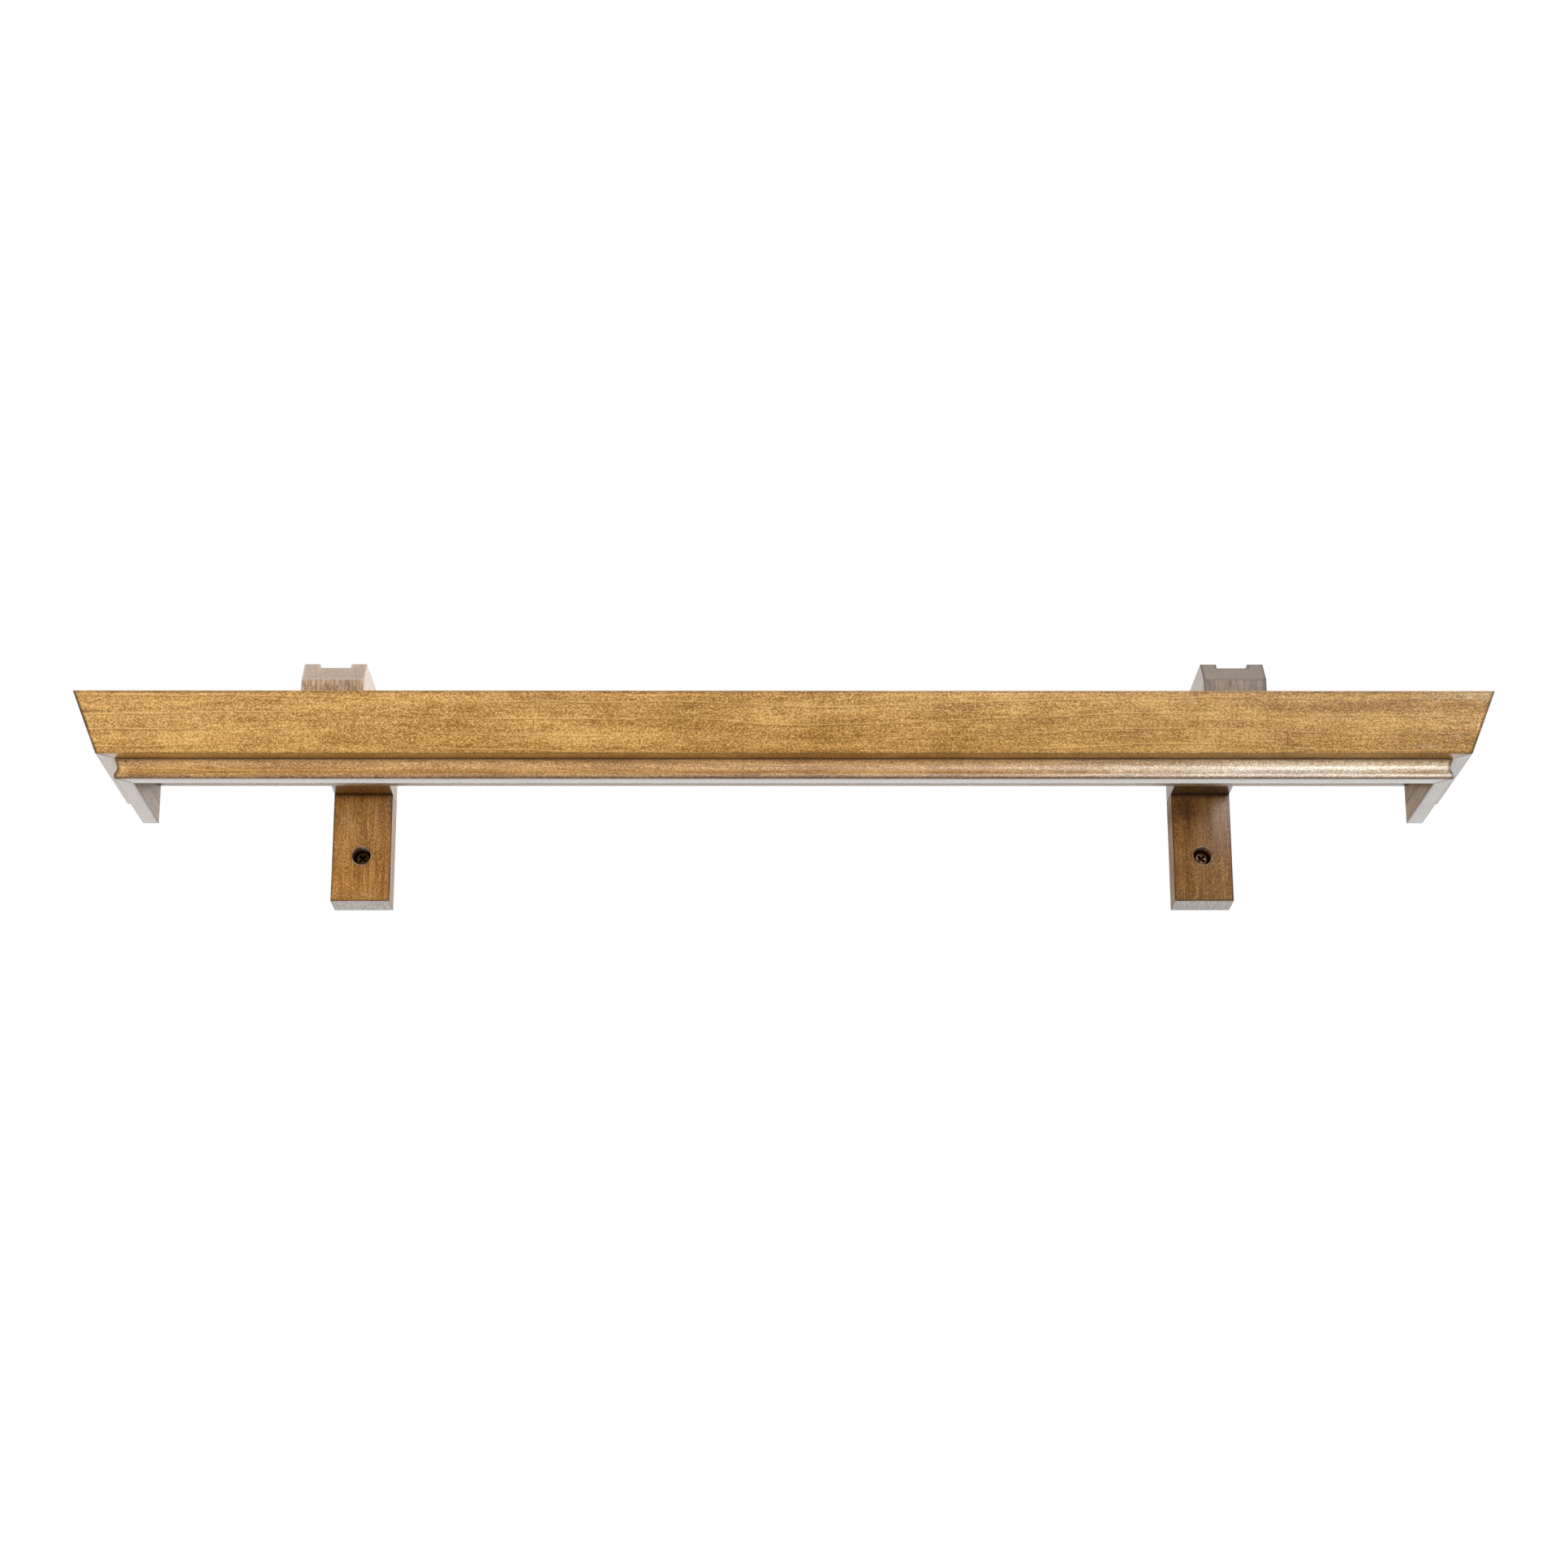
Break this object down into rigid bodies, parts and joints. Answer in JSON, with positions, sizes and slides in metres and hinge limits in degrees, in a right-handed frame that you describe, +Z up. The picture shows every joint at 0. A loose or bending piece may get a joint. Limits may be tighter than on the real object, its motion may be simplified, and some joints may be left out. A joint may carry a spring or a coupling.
{
  "type": "wall shelf with brackets",
  "caption": "Wall shelf: a board framed by a leaning mitred crown and a bead rail, hung from wooden L brackets screwed to the wall.",
  "frame": {"origin": "on the wall plane, midway between the two wall screws", "axes": "+X along the wall to the right, +Y into the wall, +Z up; the front of the shelf faces -Y"},
  "size_m": [0.9144, 0.292, 0.1167],
  "materials": {
    "shelf_wood": "stained maple under satin lacquer",
    "bracket_wood": "stained maple under satin lacquer, a little darker and redder",
    "dowel_wood": "bare beech",
    "wood_screw_steel": "zinc plated",
    "wall_screw_steel": "dull yellow zinc plating",
    "brad_steel": "bright drawn wire"
  },
  "bodies": {
    "root": {"shelf_board": "shelf_wood", "front_crown": "shelf_wood", "left_crown": "shelf_wood", "right_crown": "shelf_wood", "front_bead": "shelf_wood", "left_bead": "shelf_wood", "right_bead": "shelf_wood", "left_arm": "bracket_wood", "right_arm": "bracket_wood", "left_leg": "bracket_wood", "right_leg": "bracket_wood", "left_joint_dowels": "dowel_wood", "right_joint_dowels": "dowel_wood", "left_joint_screw": "wood_screw_steel", "right_joint_screw": "wood_screw_steel", "left_shelf_screws": "wood_screw_steel", "right_shelf_screws": "wood_screw_steel", "left_wall_screw": "wall_screw_steel", "right_wall_screw": "wall_screw_steel", "crown_brads": "brad_steel", "bead_brads": "brad_steel", "mitre_pins": "brad_steel"}
  },
  "joints": []
}
